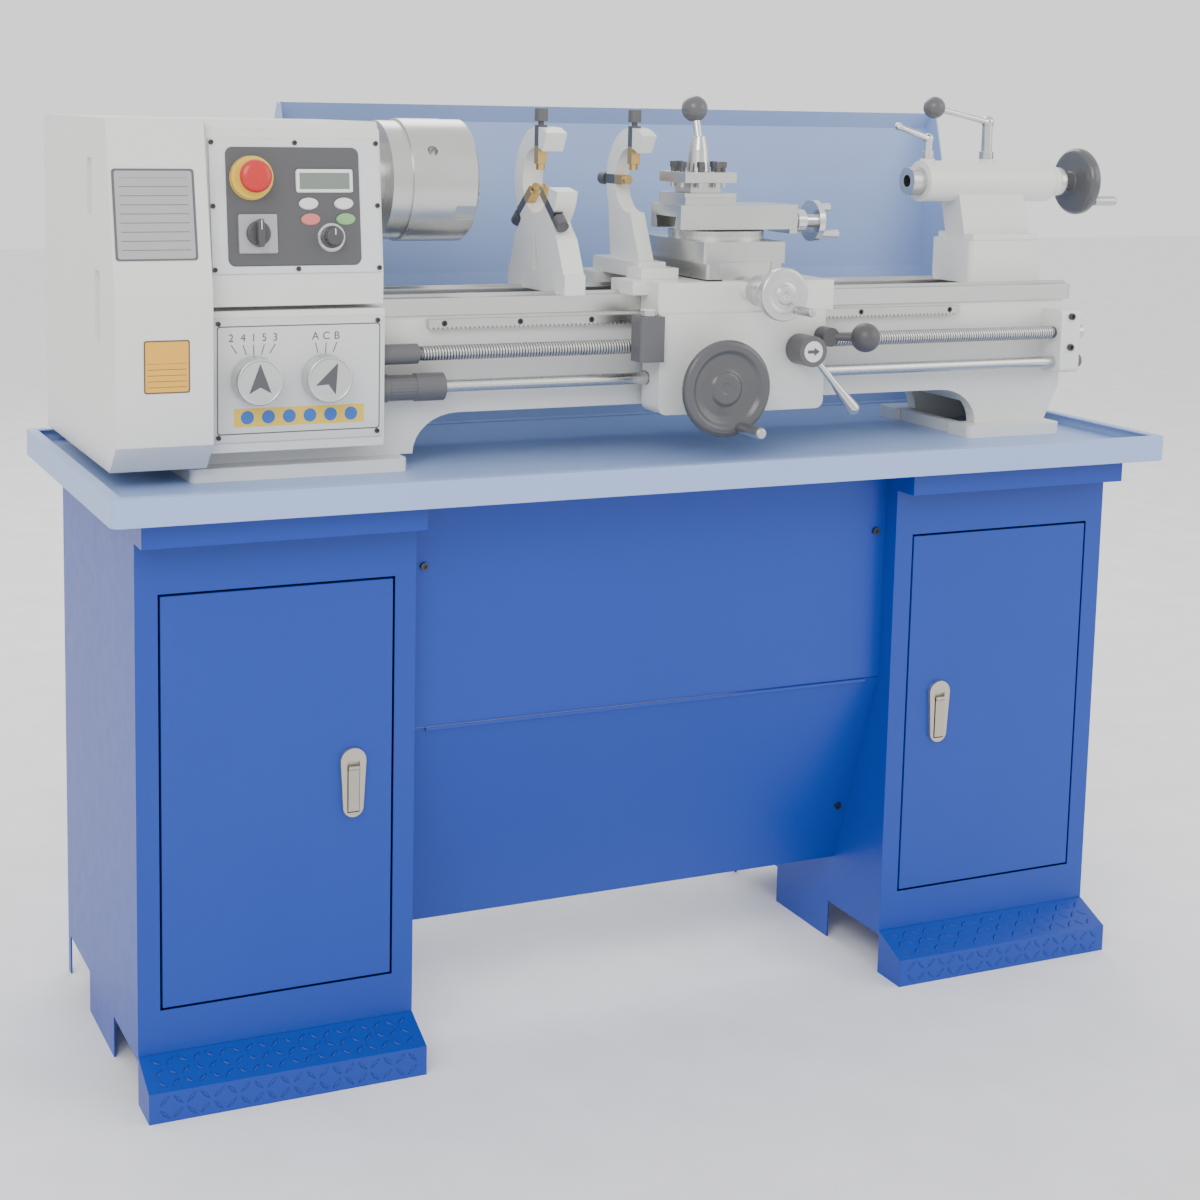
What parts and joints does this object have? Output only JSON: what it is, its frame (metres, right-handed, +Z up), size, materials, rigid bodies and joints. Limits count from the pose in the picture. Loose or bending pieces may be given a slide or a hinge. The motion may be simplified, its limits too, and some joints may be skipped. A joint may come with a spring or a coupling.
{
  "type": "metal lathe",
  "caption": "Engine lathe on a two-cabinet sheet-metal stand, with chip tray, splash guard, chuck, carriage, steady rests and tailstock.",
  "frame": {"origin": "on the floor, under the middle of the whole machine's box", "axes": "+X along the bed towards the tailstock, -Y towards the operator, +Z up"},
  "size_m": [1.586, 0.544, 1.229],
  "materials": {
    "stand_blue": "satin powder coat",
    "machine_white": "smooth gloss enamel",
    "ground_steel": "ground and oiled",
    "chrome": "polished chrome",
    "black_oxide": "black oxide",
    "black_plastic": "moulded black plastic",
    "dial_grey": "satin anodised",
    "panel_white": "printed plate",
    "brass": "machined brass",
    "red_plastic": "moulded red plastic",
    "belt_rubber": "ribbed rubber",
    "motor_grey": "semi-gloss enamel",
    "latch_chrome": "satin zinc casting"
  },
  "bodies": {
    "machine": {"left_cabinet": "stand_blue", "right_cabinet": "stand_blue", "upper_panel": "stand_blue", "lower_panel": "stand_blue", "chip_tray": "stand_blue", "splash_guard": "stand_blue", "bed": "machine_white", "rack": "ground_steel", "end_bracket": "machine_white", "headstock": "machine_white", "gearbox": "machine_white", "control_panel": "panel_white", "motor": "motor_grey", "drive_belt": "belt_rubber", "cap_screws": "black_oxide"},
    "left_door": {"left_door": "stand_blue"},
    "right_door": {"right_door": "stand_blue"},
    "left_latch": {"left_latch_handle": "latch_chrome"},
    "right_latch": {"right_latch_handle": "latch_chrome"},
    "gear_cover": {"gear_cover": "machine_white"},
    "spindle": {"spindle": "ground_steel", "chuck_body": "ground_steel", "spindle_pulley": "ground_steel"},
    "jaw_1": {"chuck_jaw_1": "ground_steel"},
    "jaw_2": {"chuck_jaw_2": "ground_steel"},
    "jaw_3": {"chuck_jaw_3": "ground_steel"},
    "motor_rotor": {"motor_pulley": "ground_steel"},
    "leadscrew": {"leadscrew": "ground_steel"},
    "feed_rod": {"feed_rod": "ground_steel"},
    "estop": {"estop_button": "red_plastic"},
    "selector": {"selector_knob": "black_plastic"},
    "speed_knob": {"speed_knob": "black_plastic"},
    "feed_dial": {"feed_dial": "dial_grey"},
    "range_dial": {"range_dial": "dial_grey"},
    "carriage": {"saddle": "machine_white", "apron": "machine_white", "follow_rest": "machine_white"},
    "apron_wheel": {"apron_handwheel": "black_plastic"},
    "thread_dial": {"thread_dial": "chrome"},
    "half_nut": {"half_nut_lever": "black_plastic"},
    "feed_lever": {"feed_lever": "chrome"},
    "cross_wheel": {"cross_handwheel": "dial_grey"},
    "cross_slide": {"cross_slide": "ground_steel"},
    "compound": {"compound_base": "ground_steel"},
    "top_slide": {"top_slide": "ground_steel"},
    "top_wheel": {"top_slide_handwheel": "chrome"},
    "tool_post": {"tool_post": "ground_steel"},
    "post_lever": {"tool_post_lever": "chrome"},
    "tailstock": {"tailstock_base": "machine_white", "tailstock_body": "machine_white"},
    "quill": {"quill": "ground_steel"},
    "tail_wheel": {"tailstock_handwheel": "black_plastic"},
    "tail_lever": {"tailstock_lever": "chrome"},
    "quill_lock": {"quill_lock_lever": "chrome"},
    "steady": {"steady_frame": "machine_white"},
    "steady_top": {"steady_finger_top": "brass"},
    "steady_rear": {"steady_finger_rear": "brass"},
    "steady_front": {"steady_finger_front": "brass"},
    "follow_top": {"follow_finger_top": "brass"},
    "follow_rear": {"follow_finger_rear": "brass"}
  },
  "joints": [
    {"name": "left_door_hinge", "type": "hinge", "parent": "machine", "child": "left_door", "pos_m": [-0.725, -0.2065, 0.372], "axis": [0, 0, -1], "range_deg": [0, 110]},
    {"name": "right_door_hinge", "type": "hinge", "parent": "machine", "child": "right_door", "pos_m": [0.621, -0.2065, 0.372], "axis": [0, 0, 1], "range_deg": [0, 110]},
    {"name": "left_latch_lift", "type": "hinge", "parent": "left_door", "child": "left_latch", "pos_m": [-0.4845, -0.2115, 0.392], "axis": [-1, 0, 0], "range_deg": [0, 60]},
    {"name": "right_latch_lift", "type": "hinge", "parent": "right_door", "child": "right_latch", "pos_m": [0.3805, -0.2115, 0.392], "axis": [-1, 0, 0], "range_deg": [0, 60]},
    {"name": "gear_cover_hinge", "type": "hinge", "parent": "machine", "child": "gear_cover", "pos_m": [-0.64715, 0.255, 0.972], "axis": [0, 0, -1], "range_deg": [0, 100]},
    {"name": "spindle_spin", "type": "hinge", "parent": "machine", "child": "spindle", "pos_m": [-0.543, 0.005, 1.106], "axis": [1, 0, 0], "continuous": true},
    {"name": "motor_spin", "type": "hinge", "parent": "machine", "child": "motor_rotor", "pos_m": [-0.643, 0.177, 0.87], "axis": [1, 0, 0], "continuous": true},
    {"name": "leadscrew_spin", "type": "hinge", "parent": "machine", "child": "leadscrew", "pos_m": [-0.043, -0.108, 0.891], "axis": [1, 0, 0], "continuous": true},
    {"name": "feed_rod_spin", "type": "hinge", "parent": "machine", "child": "feed_rod", "pos_m": [-0.043, -0.108, 0.848], "axis": [1, 0, 0], "continuous": true},
    {"name": "jaw_1_slide", "type": "slide", "parent": "spindle", "child": "jaw_1", "axis": [0, 0, 1], "range_m": [-0.012, 0.024]},
    {"name": "jaw_2_slide", "type": "slide", "parent": "spindle", "child": "jaw_2", "axis": [0, -0.866, -0.5], "range_m": [-0.012, 0.024]},
    {"name": "jaw_3_slide", "type": "slide", "parent": "spindle", "child": "jaw_3", "axis": [0, 0.866, -0.5], "range_m": [-0.012, 0.024]},
    {"name": "estop_press", "type": "slide", "parent": "machine", "child": "estop", "axis": [0, 0.9926, -0.1211], "range_m": [0, 0.004], "stiffness_N_per_m": 400},
    {"name": "selector_turn", "type": "hinge", "parent": "machine", "child": "selector", "pos_m": [-0.583, -0.12702, 1.046], "axis": [0, -0.9926, 0.1211], "range_deg": [-45, 45]},
    {"name": "speed_turn", "type": "hinge", "parent": "machine", "child": "speed_knob", "pos_m": [-0.49, -0.12763, 1.041], "axis": [0, -0.9926, 0.1211], "range_deg": [-135, 135]},
    {"name": "feed_dial_turn", "type": "hinge", "parent": "machine", "child": "feed_dial", "pos_m": [-0.588, -0.131, 0.869], "axis": [0, -1, 0], "range_deg": [-60, 60]},
    {"name": "range_dial_turn", "type": "hinge", "parent": "machine", "child": "range_dial", "pos_m": [-0.4995, -0.131, 0.869], "axis": [0, -1, 0], "range_deg": [-30, 30]},
    {"name": "apron_wheel_turn", "type": "hinge", "parent": "carriage", "child": "apron_wheel", "pos_m": [0.032, -0.195, 0.842], "axis": [0, -1, 0], "range_deg": [-216.5, 2520.5]},
    {"name": "carriage_slide", "type": "slide", "parent": "machine", "child": "carriage", "axis": [1, 0, 0], "range_m": [-0.012, 0.14]},
    {"name": "thread_dial_turn", "type": "hinge", "parent": "carriage", "child": "thread_dial", "pos_m": [-0.058, -0.143, 0.935], "axis": [0, 0, 1], "range_deg": [-67.6, 787.6]},
    {"name": "half_nut_turn", "type": "hinge", "parent": "carriage", "child": "half_nut", "pos_m": [0.207, -0.145, 0.902], "axis": [0, 1, 0], "range_deg": [0, 30]},
    {"name": "feed_lever_turn", "type": "hinge", "parent": "carriage", "child": "feed_lever", "pos_m": [0.171, -0.145, 0.885], "axis": [0, 1, 0], "range_deg": [-30, 30]},
    {"name": "cross_wheel_turn", "type": "hinge", "parent": "carriage", "child": "cross_wheel", "pos_m": [0.095, -0.227, 0.9675], "axis": [0, -1, 0], "range_deg": [-5400.5, 7200.5]},
    {"name": "cross_slide_feed", "type": "slide", "parent": "carriage", "child": "cross_slide", "axis": [0, 1, 0], "range_m": [-0.06, 0.08]},
    {"name": "compound_swivel", "type": "hinge", "parent": "cross_slide", "child": "compound", "pos_m": [0.095, -0.04, 1.029], "axis": [0, 0, 1], "range_deg": [-45, 45]},
    {"name": "top_wheel_turn", "type": "hinge", "parent": "top_slide", "child": "top_wheel", "pos_m": [0.249, -0.04, 1.052], "axis": [1, 0, 0], "range_deg": [-900.5, 4500.5]},
    {"name": "top_slide_feed", "type": "slide", "parent": "compound", "child": "top_slide", "axis": [1, 0, 0], "range_m": [-0.01, 0.05]},
    {"name": "tool_post_index", "type": "hinge", "parent": "top_slide", "child": "tool_post", "pos_m": [0.065, -0.04, 1.086], "axis": [0, 0, 1], "continuous": true},
    {"name": "post_lever_turn", "type": "hinge", "parent": "top_slide", "child": "post_lever", "pos_m": [0.065, -0.04, 1.12], "axis": [0, 0, 1], "range_deg": [-60, 60]},
    {"name": "tailstock_slide", "type": "slide", "parent": "machine", "child": "tailstock", "axis": [1, 0, 0], "range_m": [-0.12, 0.02]},
    {"name": "tail_wheel_turn", "type": "hinge", "parent": "tailstock", "child": "tail_wheel", "pos_m": [0.741, 0.005, 1.106], "axis": [1, 0, 0], "range_deg": [-1080, 5400]},
    {"name": "quill_feed", "type": "slide", "parent": "tailstock", "child": "quill", "axis": [-1, 0, 0], "range_m": [-0.01202, 0.06002]},
    {"name": "tail_lever_turn", "type": "hinge", "parent": "tailstock", "child": "tail_lever", "pos_m": [0.573, 0.005, 1.136], "axis": [0, 0, 1], "range_deg": [-60, 60]},
    {"name": "quill_lock_turn", "type": "hinge", "parent": "tailstock", "child": "quill_lock", "pos_m": [0.469, 0.005, 1.136], "axis": [0, 0, 1], "range_deg": [-45, 45]},
    {"name": "steady_slide", "type": "slide", "parent": "machine", "child": "steady", "axis": [1, 0, 0], "range_m": [-0.06, 0.01]},
    {"name": "steady_top_set", "type": "slide", "parent": "steady", "child": "steady_top", "axis": [0, 0, 1], "range_m": [-0.004, 0.018]},
    {"name": "steady_rear_set", "type": "slide", "parent": "steady", "child": "steady_rear", "axis": [0, 0.788, -0.6157], "range_m": [-0.004, 0.018]},
    {"name": "steady_front_set", "type": "slide", "parent": "steady", "child": "steady_front", "axis": [0, -0.788, -0.6157], "range_m": [-0.004, 0.018]},
    {"name": "follow_top_set", "type": "slide", "parent": "carriage", "child": "follow_top", "axis": [0, 0, 1], "range_m": [-0.004, 0.018]},
    {"name": "follow_rear_set", "type": "slide", "parent": "carriage", "child": "follow_rear", "axis": [0, 1, 0], "range_m": [-0.004, 0.018]}
  ],
  "couplings": [
    {"joint": "apron_wheel_turn", "follows": "carriage_slide", "rad_per_m": 314.16},
    {"joint": "thread_dial_turn", "follows": "carriage_slide", "rad_per_m": 98.175},
    {"joint": "cross_wheel_turn", "follows": "cross_slide_feed", "rad_per_m": 1570.8},
    {"joint": "top_wheel_turn", "follows": "top_slide_feed", "rad_per_m": 1570.8},
    {"joint": "quill_feed", "follows": "tail_wheel_turn", "m_per_rad": 0.00063662},
    {"joint": "jaw_2_slide", "follows": "jaw_1_slide", "ratio": 1},
    {"joint": "jaw_3_slide", "follows": "jaw_1_slide", "ratio": 1},
    {"joint": "motor_spin", "follows": "spindle_spin", "ratio": 2.0667},
    {"joint": "leadscrew_spin", "follows": "spindle_spin", "ratio": 0.25},
    {"joint": "feed_rod_spin", "follows": "spindle_spin", "ratio": 0.125}
  ]
}
